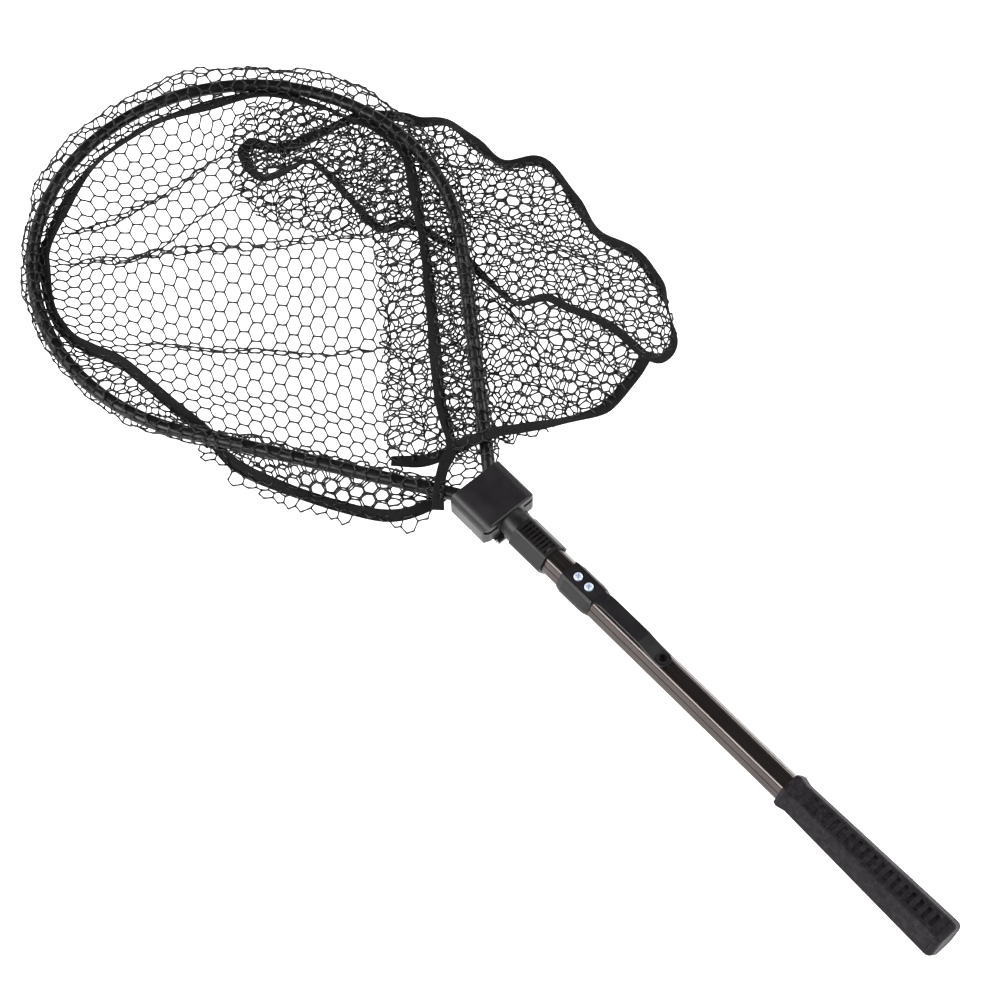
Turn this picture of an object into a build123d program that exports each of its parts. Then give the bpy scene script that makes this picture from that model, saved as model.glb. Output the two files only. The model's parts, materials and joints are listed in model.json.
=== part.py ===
from build123d import *
import math
import os

# Folding landing net, millimetres.
# Origin: the middle of the handle's butt face. +X runs along the handle to the hoop, +Z is up,
# and the handle and the hoop share the plane Z = 0. The net lies on a table at Z = REST_Z.

# Handle
REST_Z = -15.5
TUBE_FLATS = 22.0          # across the flats of the six-sided handle tube
TUBE_WALL = 1.3
TUBE_START = 12.0
TUBE_END = 440.0
GRIP_LENGTH = 155.0
GRIP_BUTT = 31.0           # the grip is six-sided too: across its flats at the butt and at the front
GRIP_FRONT = 25.2
GRIP_BEAD = 28.4
GRIP_ROUNDING = 3.0
NOTCHES = 17
NOTCH_PITCH = 7.4
CAP_LENGTH = 6.0
NOTCH_START = 12.5

# Yoke, hinge and release collar
YOKE_X = 476.0             # middle of the yoke
YOKE_LENGTH = 42.0
YOKE_WIDTH = 52.0
YOKE_SHOULDER = 9.0         # how round its two long top edges are
YOKE_TOP = 13.0
YOKE_BOTTOM = -12.0
HINGE_X = YOKE_X - YOKE_LENGTH / 2 - 0.5
HINGE_Z = REST_Z + 4.0
FOLD_DEGREES = 170         # the head folds down and back under the handle
KNUCKLE_R = 4.0
KNUCKLE_HALF = 7.0         # half the length of the middle knuckle
EAR_END = 16.0             # outer end of each ear knuckle
HINGE_PIN_R = 2.0
NECK_R = 11.7
NOSE_X = YOKE_X - YOKE_LENGTH / 2 + 3.0
NECK_END = 440.5
RECESS_DEPTH = 3.3
BOLT_R = 3.5
COLLAR_START = 407.5
COLLAR_END = 448.6
COLLAR_FLATS = 26.6
COLLAR_TRAVEL = 8.0
CROSS_PIN_X = 426.5
CROSS_PIN_R = 1.5
SPRING_START = 396.5
SPRING_END = 420.1
SPRING_R = 3.1
SPRING_WIRE_R = 0.45
SPRING_TURNS = 9

# Belt clip
CLIP_COLLAR_START = 356.0
CLIP_COLLAR_END = 390.0
CLIP_COLLAR_FLATS = 26.0
CLIP_SCREWS_X = (367.0, 378.8)
CLIP_WIDTH = 13.0
CLIP_THICKNESS = 2.2
CLIP_Z = 11.6              # underside of the strap
SCREW_RECESS = 0.9         # the screw heads sit this deep in the strap
CLIP_TIP_X = 285.0
CLIP_RISE = 4.4            # how far the blade stands off above the strap

# Hoop
HOOP_TUBE_R = 5.5
HOOP_WALL = 1.0
HOOP_X = YOKE_X + 314.0    # middle of the rounded part
HOOP_LONG_R = 182.0
HOOP_WIDE_R = 174.5
ARM_X = YOKE_X + 10.0
ARM_Y = 7.0
HOOP_TURN = -1.2           # the hoop's own axis is turned this many degrees from the handle's

# Net: plain closed solids in the place that the bag takes on the table
MESH_T = 1.2
SLEEVE_R = 8.0
TAPE_WIDTH = 9.0
TAPE_T = 1.2
CLEARANCE = 0.3

os.makedirs("parts", exist_ok=True)


def write(name, shape):
    """One STEP file for one sub-part."""
    solids = shape.solids()
    export_step(Compound(children=list(solids)) if len(solids) > 1 else solids[0], f"parts/{name}.step")


def along_x(start, end, radius, y=0.0, z=0.0):
    """A round bar parallel to the handle."""
    face = Plane.YZ.offset(start) * Pos(y, z) * Circle(radius)
    return extrude(face, end - start)


def along_y(start, end, radius, x, z):
    """A round bar across the handle."""
    return Pos(x, (start + end) / 2, z) * Rot(90, 0, 0) * Cylinder(radius, end - start)


def along_z(start, end, radius, x, y):
    """An upright round bar."""
    return Pos(x, y, (start + end) / 2) * Cylinder(radius, end - start)


def block(x0, x1, y0, y1, z0, z1):
    """A box between two corners."""
    return Pos((x0 + x1) / 2, (y0 + y1) / 2, (z0 + z1) / 2) * Box(x1 - x0, y1 - y0, z1 - z0)


def six_sided(flats, rounding):
    """The handle's section: a hexagon with its flat on top and rounded corners."""
    hexagon = RegularPolygon(flats / 2, 6, major_radius=False)
    return fillet(hexagon.vertices(), rounding)


def prism(start, end, flats, rounding=3.5):
    return extrude(Plane.YZ.offset(start) * six_sided(flats, rounding), end - start)


# ---------------------------------------------------------------- handle


def handle_tube():
    tube = prism(TUBE_START, TUBE_END, TUBE_FLATS)
    tube -= prism(TUBE_START - 1, TUBE_END + 1, TUBE_FLATS - 2 * TUBE_WALL, 3.0)
    for side in (30, 150):
        groove = Pos(TUBE_FLATS / 2, 0, 0) * Box(0.7, 1.4, 2 * TUBE_END)
        turned = Rot(0, 0, side) * groove
        tube -= Plane.YZ * turned
    for x in CLIP_SCREWS_X:
        tube -= along_z(5, 20, 1.75, x, 0)
    slot = block(CROSS_PIN_X - COLLAR_TRAVEL - 2, CROSS_PIN_X + 2, -14, 14, -1.8, 1.8)
    tube -= slot
    tube -= along_z(-15, 15, 1.5, SPRING_START + 16, 0)
    return tube


def grip_section(x, flats):
    return Plane.YZ.offset(x) * six_sided(flats, GRIP_ROUNDING)


def grip():
    """A six-sided rubber grip that thins towards its flared front, with notches that deepen to the butt."""
    butt = grip_section(CAP_LENGTH, GRIP_BUTT)
    front = grip_section(GRIP_LENGTH - 10, GRIP_FRONT)
    bead = grip_section(GRIP_LENGTH - 3, GRIP_BEAD)
    end = grip_section(GRIP_LENGTH, GRIP_BEAD - 1.6)
    body = loft([butt, front], ruled=True)
    body += loft([front, bead], ruled=True)
    body += loft([bead, end], ruled=True)
    body -= prism(0, GRIP_LENGTH + 1, TUBE_FLATS + 0.1)
    for i in range(NOTCHES):
        x = NOTCH_START + NOTCH_PITCH * i
        along = (x - CAP_LENGTH) / (GRIP_LENGTH - 10 - CAP_LENGTH)
        top = (GRIP_BUTT + (GRIP_FRONT - GRIP_BUTT) * along) / 2
        depth = 2.6 - 2.0 * along
        body -= block(x, x + 3.2, -5, 5, top - depth, top + 3)
    return body


def butt_cap():
    """The closed end of the grip, rounded in three steps, with a plug that fills the tube."""
    steps = [(0, 6.6), (0.5, 4.4), (1.5, 2.2), (3.2, 0.5), (CAP_LENGTH - 0.2, 0)]
    faces = [grip_section(x, GRIP_BUTT - less) for x, less in steps]
    cap = loft(faces[:2], ruled=True)
    for low, high in zip(faces[1:], faces[2:]):
        cap += loft([low, high], ruled=True)
    return cap + along_x(CAP_LENGTH - 0.2, 24, 9.0)


def hinge_head():
    """The handle's nose: a round neck with the middle knuckle below and a spigot inside the tube."""
    head = along_x(NECK_END, NOSE_X, NECK_R)
    head += along_x(SPRING_START - 8, NECK_END, 9.0)
    head -= block(NECK_END - 1, NOSE_X + 1, -15, 15, -20, REST_Z + 5.2)
    for side in (-1, 1):
        low, high = sorted((side * KNUCKLE_HALF, side * 20))
        head -= along_y(low, high, KNUCKLE_R + 0.5, HINGE_X, HINGE_Z)
    head += along_y(-KNUCKLE_HALF, KNUCKLE_HALF, KNUCKLE_R, HINGE_X, HINGE_Z)
    head += block(HINGE_X - KNUCKLE_R, HINGE_X, -KNUCKLE_HALF, KNUCKLE_HALF, HINGE_Z, HINGE_Z + 6)
    head -= along_y(-20, 20, HINGE_PIN_R + 0.05, HINGE_X, HINGE_Z)
    head -= along_x(SPRING_START, NOSE_X + 1, BOLT_R + 0.15)
    head -= block(CROSS_PIN_X - COLLAR_TRAVEL - 2, CROSS_PIN_X + 2, -14, 14, -1.8, 1.8)
    head -= along_z(-15, 15, 1.5, SPRING_START + 16, 0) & (
        along_z(6, 15, 1.5, SPRING_START + 16, 0) + along_z(-15, -6, 1.5, SPRING_START + 16, 0)
    )
    return head


def neck_rivets():
    rivets = []
    for side in (-1, 1):
        low, high = sorted((side * 6.1, side * 11.0))
        flush, dome = sorted((side * 11.0, side * 11.25))
        shank = along_z(low, high, 1.45, SPRING_START + 16, 0)
        rivets.append(shank + along_z(flush, dome, 2.6, SPRING_START + 16, 0))
    return Compound(children=rivets)


def hinge_pin():
    pin = along_y(-EAR_END - 0.4, EAR_END + 1.6, HINGE_PIN_R, HINGE_X, HINGE_Z)
    pin += along_y(-EAR_END - 1.6, -EAR_END - 0.3, 3.2, HINGE_X, HINGE_Z)
    groove = along_y(EAR_END + 0.4, EAR_END + 1.2, 3, HINGE_X, HINGE_Z)
    groove -= along_y(EAR_END, EAR_END + 2, 1.5, HINGE_X, HINGE_Z)
    return pin - groove


def hinge_pin_clip():
    ring = along_y(EAR_END + 0.45, EAR_END + 1.15, 3.2, HINGE_X, HINGE_Z)
    ring -= along_y(EAR_END, EAR_END + 2, 1.52, HINGE_X, HINGE_Z)
    return ring - block(HINGE_X - 1, HINGE_X + 1, EAR_END, EAR_END + 2, HINGE_Z, HINGE_Z + 5)


def clip_collar():
    """A sleeve on the tube whose ends taper down to it, with a flat pad under the strap."""
    def section(x, flats):
        return Plane.YZ.offset(x) * six_sided(flats, 6.0)

    sections = [
        section(CLIP_COLLAR_START, TUBE_FLATS + 1.2),
        section(CLIP_COLLAR_START + 4, CLIP_COLLAR_FLATS - 0.7),
        section(CLIP_COLLAR_START + 9, CLIP_COLLAR_FLATS),
        section(CLIP_COLLAR_END - 5, CLIP_COLLAR_FLATS),
        section(CLIP_COLLAR_END, TUBE_FLATS + 1.6),
    ]
    sleeve = loft(sections[:2], ruled=True)
    for low, high in zip(sections[1:], sections[2:]):
        sleeve += loft([low, high], ruled=True)
    pad = block(CLIP_COLLAR_START, CLIP_COLLAR_END, -8.6, 8.6, 8, 14.2)
    pad = chamfer(pad.edges().filter_by(Axis.X).sort_by(Axis.Z)[-2:], 1.2)
    pad = fillet(pad.edges().filter_by(Axis.Z).sort_by(Axis.X)[-2:], 4)
    sleeve += pad
    sleeve -= prism(0, TUBE_END, TUBE_FLATS + 0.1)
    sleeve -= block(0, TUBE_END, -CLIP_WIDTH / 2 - 0.1, CLIP_WIDTH / 2 + 0.1, CLIP_Z, 20)
    for x in CLIP_SCREWS_X:
        sleeve -= along_z(5, 20, 1.75, x, 0)
    return sleeve


def belt_clip_strap():
    strap = block(CLIP_COLLAR_START + 0.2, CLIP_COLLAR_END - 1, -CLIP_WIDTH / 2, CLIP_WIDTH / 2,
                  CLIP_Z, CLIP_Z + CLIP_THICKNESS)
    strap = fillet(strap.edges().filter_by(Axis.Z).sort_by(Axis.X)[-2:], 2)
    for x in CLIP_SCREWS_X:
        strap -= along_z(5, 20, 2.1, x, 0)
        strap -= along_z(CLIP_Z + CLIP_THICKNESS - SCREW_RECESS, 20, 4.6, x, 0)
    return strap


def belt_clip_blade():
    """The free blade of the belt clip: straight, then sloping down to a round tip that meets the tube."""
    top = CLIP_Z + CLIP_THICKNESS
    profile = Polyline(
        (CLIP_COLLAR_START, CLIP_Z),
        (CLIP_COLLAR_START, top),
        (CLIP_COLLAR_START - 2.5, top + 0.4),
        (CLIP_COLLAR_START - 8, top + CLIP_RISE - 0.4),
        (CLIP_COLLAR_START - 14, top + CLIP_RISE),
        (CLIP_TIP_X + 22, top + CLIP_RISE),
        (CLIP_TIP_X + 6.5, top),
        (CLIP_TIP_X - 5, top),
        (CLIP_TIP_X - 5, CLIP_Z - 0.3),
        (CLIP_TIP_X + 7, CLIP_Z - 0.3),
        (CLIP_TIP_X + 22, CLIP_Z + CLIP_RISE),
        (CLIP_COLLAR_START - 14, CLIP_Z + CLIP_RISE),
        (CLIP_COLLAR_START - 7, CLIP_Z + CLIP_RISE - 0.6),
        (CLIP_COLLAR_START - 2, CLIP_Z + 0.4),
        close=True,
    )
    blade = extrude(Plane.XZ * make_face(profile), CLIP_WIDTH / 2, both=True)
    outline = SlotOverall(CLIP_COLLAR_START - CLIP_TIP_X + 5 + CLIP_WIDTH, CLIP_WIDTH - 0.6)
    middle = (CLIP_COLLAR_START + CLIP_TIP_X - 5 + CLIP_WIDTH) / 2
    blade &= extrude(Plane.XY * Pos(middle, 0) * outline, 40)
    blade += along_z(CLIP_Z - 0.3, top + 0.9, 4.9, CLIP_TIP_X + 1.5, 0)
    blade -= along_z(CLIP_Z - 2, 40, 3.3, CLIP_TIP_X + 1.5, 0)
    return blade


def clip_screw(x):
    seat = CLIP_Z + CLIP_THICKNESS - SCREW_RECESS
    head = along_z(seat, seat + 1.9, 3.6, x, 0)
    head = fillet(head.edges().sort_by(Axis.Z)[-1], 1.2)
    for turn in (0, 90):
        cross = Pos(x, 0, seat + 1.7) * Rot(0, 0, 35 + turn) * Box(4.2, 1.0, 1.8)
        head -= cross
    return head + along_z(6.5, seat, 1.7, x, 0)


def clip_screws():
    return Compound(children=[clip_screw(x) for x in CLIP_SCREWS_X])


# ---------------------------------------------------------------- release collar


def release_collar():
    """The sliding collar: a short round ring in front of a six-sided barrel with a ribbed top."""
    collar = prism(COLLAR_START, COLLAR_END - 7, COLLAR_FLATS, 4)
    collar += along_x(COLLAR_END - 8, COLLAR_END, COLLAR_FLATS / 2 - 0.2)
    collar -= along_x(0, COLLAR_END + 1, NECK_R + 0.3)
    collar -= prism(0, TUBE_END + COLLAR_TRAVEL + 0.4, TUBE_FLATS + 0.7, 3.2)
    for i in range(8):
        x = COLLAR_START + 3 + 3.7 * i
        collar -= block(x, x + 2.1, -5.8, 5.8, COLLAR_FLATS / 2 - 1.5, 20)
    collar -= along_y(-13, 13, CROSS_PIN_R + 0.03, CROSS_PIN_X, 0)
    return collar


def lock_bolt():
    tip = NOSE_X + 1.5
    bolt = along_x(SPRING_END + 0.2, tip, BOLT_R)
    bolt = chamfer(bolt.faces().sort_by(Axis.X)[-1].edges(), 1.2)
    return bolt - along_y(-10, 10, CROSS_PIN_R + 0.03, CROSS_PIN_X, 0)


def bolt_cross_pin():
    return along_y(-12.9, 12.9, CROSS_PIN_R, CROSS_PIN_X, 0)


def collar_spring():
    start = SPRING_START + SPRING_WIRE_R + 0.1
    length = SPRING_END - SPRING_START - 2 * SPRING_WIRE_R - 0.2
    path = Helix(length / SPRING_TURNS, length, SPRING_R)
    wire = sweep(Plane(path @ 0, z_dir=path % 0) * Circle(SPRING_WIRE_R), path, is_frenet=True)
    return Pos(start, 0, 0) * Rot(0, 90, 0) * wire


# ---------------------------------------------------------------- hoop and yoke


def hoop_path():
    """Straight arms from the yoke, tangent to an ellipse that is nearly a circle."""
    near = (ARM_X - HOOP_X) / HOOP_LONG_R
    side = ARM_Y / HOOP_WIDE_R
    turn = math.atan2(side, near) - math.acos(1 / math.hypot(near, side))
    meet = Vector(HOOP_X + HOOP_LONG_R * math.cos(turn), HOOP_WIDE_R * math.sin(turn))
    degrees = math.degrees(turn)
    round_part = EllipticalCenterArc(
        (HOOP_X, 0), HOOP_LONG_R, HOOP_WIDE_R, start_angle=-degrees, arc_size=2 * degrees
    )
    left = Line((meet.X, meet.Y), (ARM_X, ARM_Y))
    right = Line((ARM_X, -ARM_Y), (meet.X, -meet.Y))
    turned = Pos(ARM_X, 0) * Rot(0, 0, HOOP_TURN) * Pos(-ARM_X, 0)
    return [turned * edge for edge in (right, round_part, left)]


def swept_hoop(outer, inner=None, skip_arms=0.0):
    """A round tube or bar along the hoop; skip_arms leaves out that much of each arm at the yoke."""
    right, round_part, left = hoop_path()
    if skip_arms:
        right = Line(right @ (skip_arms / right.length), right @ 1)
        left = Line(left @ 0, left @ (1 - skip_arms / left.length))
    path = Wire([right, round_part, left])
    ring = Circle(outer) - Circle(inner) if inner else Circle(outer)
    return sweep(Plane(path @ 0, z_dir=path % 0) * ring, path)


def hoop_pin_places():
    right, round_part, left = hoop_path()
    return [left @ (1 - 6 / left.length), right @ (6 / right.length)]


def hoop_tube():
    tube = swept_hoop(HOOP_TUBE_R, HOOP_TUBE_R - HOOP_WALL)
    for place in hoop_pin_places():
        tube -= along_z(-8, 8, 1.55, place.X, place.Y)
    return tube


def hoop_lock_pins():
    return Compound(children=[along_z(-8, 8, 1.5, p.X, p.Y) for p in hoop_pin_places()])


def yoke_block():
    """The yoke before it is parted: a round-shouldered block with channels for the arms and a recess for the nose.
    A shallow slope underneath leaves room for the release collar when the head is folded."""
    rear = YOKE_X - YOKE_LENGTH / 2
    middle_z = (YOKE_TOP + YOKE_BOTTOM) / 2
    height = YOKE_TOP - YOKE_BOTTOM
    section = Rectangle(YOKE_WIDTH, height)
    section = fillet(section.vertices().sort_by(Axis.Y)[-2:], YOKE_SHOULDER)
    section = fillet(section.vertices().sort_by(Axis.Y)[:2], 3.5)
    body = extrude(Plane.YZ.offset(rear) * Pos(0, middle_z) * section, YOKE_LENGTH)
    plan = Rectangle(YOKE_LENGTH, YOKE_WIDTH)
    plan = fillet(plan.vertices().sort_by(Axis.X)[:2], 6)
    plan = fillet(plan.vertices().sort_by(Axis.X)[-2:], 1.8)
    body &= extrude(Plane.XY.offset(-20) * Pos(YOKE_X, 0) * plan, 40)
    profile = fillet(Rectangle(YOKE_LENGTH, height).vertices(), 1.8)
    body &= extrude(Plane.XZ * Pos(YOKE_X, middle_z) * profile, 40, both=True)
    for side in (-1, 1):
        low, high = sorted((side * 13.5, side * 30))
        body -= block(rear - 1, rear + 3.5, low, high, 3.6, 7.2)
        low, high = sorted((side * (YOKE_WIDTH / 2 - 2.4), side * 30))
        body -= block(YOKE_X - 4, YOKE_X - 1.5, low, high, YOKE_BOTTOM - 1, YOKE_BOTTOM + 4)
    for side in (-1, 1):
        low, high = sorted((side * (KNUCKLE_HALF + CLEARANCE), side * EAR_END))
        ear = along_y(low, high, KNUCKLE_R, HINGE_X, HINGE_Z)
        ear += block(HINGE_X, HINGE_X + 7, low, high, HINGE_Z, HINGE_Z + 7)
        body += ear
    body -= along_y(-KNUCKLE_HALF - CLEARANCE, KNUCKLE_HALF + CLEARANCE, KNUCKLE_R + 0.5, HINGE_X, HINGE_Z)
    body -= along_y(-20, 20, HINGE_PIN_R + 0.05, HINGE_X, HINGE_Z)
    for side in (-1, 1):
        low, high = sorted((side * (EAR_END + 0.1), side * 25))
        body -= along_y(low, high, KNUCKLE_R, HINGE_X, HINGE_Z)
    body -= along_x(rear - 8, rear + RECESS_DEPTH, NECK_R + 0.5)
    under = block(5, 50, -15, 15, -10, 2.3)
    body -= Pos(HINGE_X, 0, HINGE_Z) * Rot(0, 180 - FOLD_DEGREES, 0) * under
    body -= swept_hoop(HOOP_TUBE_R + 0.08)
    plate_x = rear + RECESS_DEPTH
    body -= block(plate_x - 0.1, plate_x + 2.6, -9.1, 9.1, -9.1, 9.1)
    body -= along_x(plate_x, plate_x + 6, BOLT_R + 0.4)
    for place in hoop_pin_places():
        body -= along_z(-8.1, 8.1, 1.55, place.X, place.Y)
    return body


def yoke_screw_places():
    return [(YOKE_X + x, side * y) for x, y in ((-9, 18), (9, 16.8)) for side in (-1, 1)]


def yoke_upper_shell(body):
    shell = body & block(YOKE_X - 40, YOKE_X + 40, -40, 40, 0.05, 40)
    for x, y in yoke_screw_places():
        shell -= along_z(-1, 9, 1.3, x, y)
    return shell


def yoke_lower_shell(body):
    shell = body & block(YOKE_X - 40, YOKE_X + 40, -40, 40, -40, -0.05)
    for x, y in yoke_screw_places():
        shell -= along_z(-20, 1, 1.6, x, y)
        shell -= along_z(-20, YOKE_BOTTOM + 2.4, 2.9, x, y)
    return shell


def yoke_screws():
    screws = []
    for x, y in yoke_screw_places():
        screw = along_z(YOKE_BOTTOM + 0.5, YOKE_BOTTOM + 2.4, 2.7, x, y)
        screw += along_z(YOKE_BOTTOM + 2.3, 8.5, 1.25, x, y)
        screw -= Pos(x, y, YOKE_BOTTOM + 0.8) * Box(2.8, 0.7, 1.4)
        screw -= Pos(x, y, YOKE_BOTTOM + 0.8) * Box(0.7, 2.8, 1.4)
        screws.append(screw)
    return Compound(children=screws)


def latch_plate():
    x = YOKE_X - YOKE_LENGTH / 2 + RECESS_DEPTH
    return block(x, x + 2.5, -9, 9, -9, 9) - along_x(x - 1, x + 4, BOLT_R + 0.4)


# ---------------------------------------------------------------- net


def moved_in(points, inset):
    """A closed outline's points, anticlockwise, moved inwards by the inset."""
    inner = []
    for i, (x, y) in enumerate(points):
        before = points[i - 1]
        after = points[(i + 1) % len(points)]
        along = Vector(after[0] - before[0], after[1] - before[1]).normalized()
        inner.append((YOKE_X + x - along.Y * inset, y + along.X * inset))
    return inner


def sheet_of(points, bottom, thickness, inset=0.0):
    """A flat layer with a smooth closed outline; the points are measured from the yoke."""
    face = make_face(Spline(*moved_in(points, inset), periodic=True))
    return extrude(Plane.XY.offset(bottom) * face, thickness, dir=(0, 0, 1))


def band_of(points, bottom, height, inset, width):
    """A band that follows the inside of a smooth closed outline."""
    return sheet_of(points, bottom, height, inset) - sheet_of(points, bottom - 1, height + 2, inset + width)


# Where the bag lies: under the hoop and out past its right side.
BAG_OUTLINE = [
    (26, 12), (20, -60), (12, -160), (30, -214), (102, -244), (211, -250), (310, -217), (390, -170),
    (446, -108), (478, -40), (476, 40), (440, 116), (370, 156), (290, 163), (210, 138), (110, 66),
]
# The bag's oval bottom panel, collapsed on the table beside and under the hoop's right side.
BASE_OUTLINE = [
    (24, -178), (20, -200), (50, -226), (102, -240), (140, -234), (211, -248), (273, -219), (330, -198),
    (362, -172), (398, -78), (372, -70), (345, -104), (260, -108), (217, -134), (130, -140), (98, -166),
]
# The hem that closes the sleeve hangs a little inside the hoop.
HEM_OUTLINE = [
    (45, 0), (110, -56), (190, -106), (270, -142), (350, -146), (420, -118), (462, -60),
    (470, 20), (440, 98), (380, 138), (300, 146), (210, 122), (120, 62),
]
SIDE_SEAM = [(72, 20), (44, -22), (24, -80), (14, -150)]
SEAM_END = [(52, 8), (34, 34)]


def net_wall():
    """The side of the bag: one layer of mesh on the table with its edges turned up to the hoop."""
    tray = sheet_of(BAG_OUTLINE, REST_Z, 7.2)
    return tray - sheet_of(BAG_OUTLINE, REST_Z + MESH_T, 10, MESH_T)


def net_base():
    return sheet_of(BASE_OUTLINE, REST_Z + MESH_T + 0.1, 5.2, 3.0)


def net_sleeve():
    return swept_hoop(SLEEVE_R - 0.4, SLEEVE_R - 0.4 - MESH_T, skip_arms=26)


def base_seam_tape():
    return band_of(BASE_OUTLINE, REST_Z + MESH_T + 5.4, TAPE_T, 3.0, TAPE_WIDTH)


def hem_tape():
    return band_of(HEM_OUTLINE, -5, TAPE_WIDTH, 4.0, TAPE_T)


def flat_tape(points, z):
    """A tape laid flat along a line of points."""
    strips = [
        Pos(YOKE_X + (a[0] + b[0]) / 2, (a[1] + b[1]) / 2, z + TAPE_T / 2)
        * Rot(0, 0, math.degrees(math.atan2(b[1] - a[1], b[0] - a[0])))
        * Box(math.dist(a, b), TAPE_WIDTH, TAPE_T)
        for a, b in zip(points, points[1:])
    ]
    corners = [along_z(z, z + TAPE_T, TAPE_WIDTH / 2, YOKE_X + x, y) for x, y in points[1:-1]]
    tape = strips[0]
    for piece in strips[1:] + corners:
        tape += piece
    return tape


def side_seam_tape():
    """The tape over the bag's side seam crosses the right arm of the hoop and runs to the base seam."""
    return flat_tape(SIDE_SEAM, SLEEVE_R + CLEARANCE)


def seam_tape_end():
    """The spare end of the hem tape, turned out over the left arm beside the yoke."""
    return flat_tape(SEAM_END, SLEEVE_R + CLEARANCE + TAPE_T + 0.1)


PARTS = {
    "handle_tube": handle_tube,
    "grip": grip,
    "butt_cap": butt_cap,
    "hinge_head": hinge_head,
    "neck_rivets": neck_rivets,
    "hinge_pin": hinge_pin,
    "hinge_pin_clip": hinge_pin_clip,
    "clip_collar": clip_collar,
    "belt_clip_strap": belt_clip_strap,
    "belt_clip_blade": belt_clip_blade,
    "clip_screws": clip_screws,
    "release_collar": release_collar,
    "lock_bolt": lock_bolt,
    "bolt_cross_pin": bolt_cross_pin,
    "collar_spring": collar_spring,
    "hoop_tube": hoop_tube,
    "hoop_lock_pins": hoop_lock_pins,
    "yoke_screws": yoke_screws,
    "latch_plate": latch_plate,
    "net_wall": net_wall,
    "net_base": net_base,
    "net_sleeve": net_sleeve,
    "base_seam_tape": base_seam_tape,
    "hem_tape": hem_tape,
    "side_seam_tape": side_seam_tape,
    "seam_tape_end": seam_tape_end,
}

for name, make in PARTS.items():
    write(name, make())

yoke = yoke_block()
write("yoke_upper_shell", yoke_upper_shell(yoke))
write("yoke_lower_shell", yoke_lower_shell(yoke))
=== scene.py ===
import json
import math

import bpy
import numpy as np
from mathutils import Matrix, Vector


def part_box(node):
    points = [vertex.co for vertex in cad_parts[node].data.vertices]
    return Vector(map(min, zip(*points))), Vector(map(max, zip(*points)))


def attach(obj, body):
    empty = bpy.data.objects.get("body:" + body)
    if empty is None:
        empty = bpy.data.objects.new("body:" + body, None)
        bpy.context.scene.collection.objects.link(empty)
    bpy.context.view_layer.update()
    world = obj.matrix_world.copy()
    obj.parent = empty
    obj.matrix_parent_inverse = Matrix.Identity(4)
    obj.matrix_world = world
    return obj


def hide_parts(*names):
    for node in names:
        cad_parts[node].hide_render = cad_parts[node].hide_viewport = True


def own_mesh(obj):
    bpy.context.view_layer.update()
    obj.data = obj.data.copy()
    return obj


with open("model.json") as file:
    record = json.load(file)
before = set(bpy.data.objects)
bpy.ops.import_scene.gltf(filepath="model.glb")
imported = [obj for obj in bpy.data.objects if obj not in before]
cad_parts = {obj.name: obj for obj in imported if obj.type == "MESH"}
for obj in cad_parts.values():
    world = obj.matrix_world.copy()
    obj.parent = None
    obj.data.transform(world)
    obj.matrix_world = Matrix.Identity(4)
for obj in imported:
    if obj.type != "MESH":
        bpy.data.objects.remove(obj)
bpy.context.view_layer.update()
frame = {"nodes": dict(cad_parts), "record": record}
nodes = frame["nodes"]
random = np.random.default_rng(11)

MM = 0.001

# ---------------------------------------------------------------- places taken from the frame

yoke_low, yoke_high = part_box("yoke_upper_shell")
hoop_low, hoop_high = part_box("hoop_tube")
wall_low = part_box("net_wall")[0]

HOOP_TUBE_R = hoop_high.z
HOOP_LONG_R = 182 * MM
HOOP_WIDE_R = (hoop_high.y - hoop_low.y) / 2 - HOOP_TUBE_R
HOOP_Y = (hoop_low.y + hoop_high.y) / 2
YOKE_X = (yoke_low.x + yoke_high.x) / 2
HOOP_X = hoop_high.x - HOOP_TUBE_R - HOOP_LONG_R
ARM_X = yoke_low.x + 31 * MM
ARM_Y = 7 * MM
NET_X = YOKE_X + 313.5 * MM     # the net's curves are measured from here
FLOOR_Z = wall_low.z

# The net's own sizes
CELL = 11.7 * MM            # between opposite strands of a mesh cell
STRAND_R = 0.74 * MM
TAPE_WIDTH = 10 * MM
TAPE_T = 1.1 * MM
SLEEVE_ROUND = 86 * MM      # mesh round the hoop's tube, from hem to hem
SLEEVE_START = 24 * MM      # bare arm between the yoke and the sleeve
STEP = 2 * MM               # spacing of the samples along curves


# ---------------------------------------------------------------- camera and stage

def make_camera():
    """The reference view: from above and behind the yoke's left, slightly rolled."""
    azimuth = math.radians(230.04)
    elevation = math.radians(60.0)
    roll = math.radians(-1.88)
    target = Vector((YOKE_X - 2.4 * MM, -5.55 * MM, 0))
    distance = 1.8199
    back = Vector((
        math.sin(azimuth) * math.cos(elevation),
        -math.cos(azimuth) * math.cos(elevation),
        math.sin(elevation),
    ))
    right = Vector((math.cos(azimuth), math.sin(azimuth), 0))
    up = back.cross(right)
    turned_right = right * math.cos(roll) + up * math.sin(roll)
    turned_up = up * math.cos(roll) - right * math.sin(roll)
    data = bpy.data.cameras.new("camera")
    data.sensor_width = 36
    data.lens = 84.57
    data.clip_start = 0.05
    data.clip_end = 50
    camera = bpy.data.objects.new("camera", data)
    rotation = Matrix((turned_right, turned_up, back)).transposed()
    camera.matrix_world = Matrix.Translation(target + back * distance) @ rotation.to_4x4()
    bpy.context.scene.collection.objects.link(camera)
    bpy.context.scene.camera = camera


def area_light(name, place, aim, size, power):
    data = bpy.data.lights.new(name, "AREA")
    data.shape = "RECTANGLE"
    data.size, data.size_y = size
    data.energy = power
    light = bpy.data.objects.new(name, data)
    light.location = place
    light.rotation_euler = (Vector(aim) - Vector(place)).to_track_quat("-Z", "Y").to_euler()
    bpy.context.scene.collection.objects.link(light)


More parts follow.
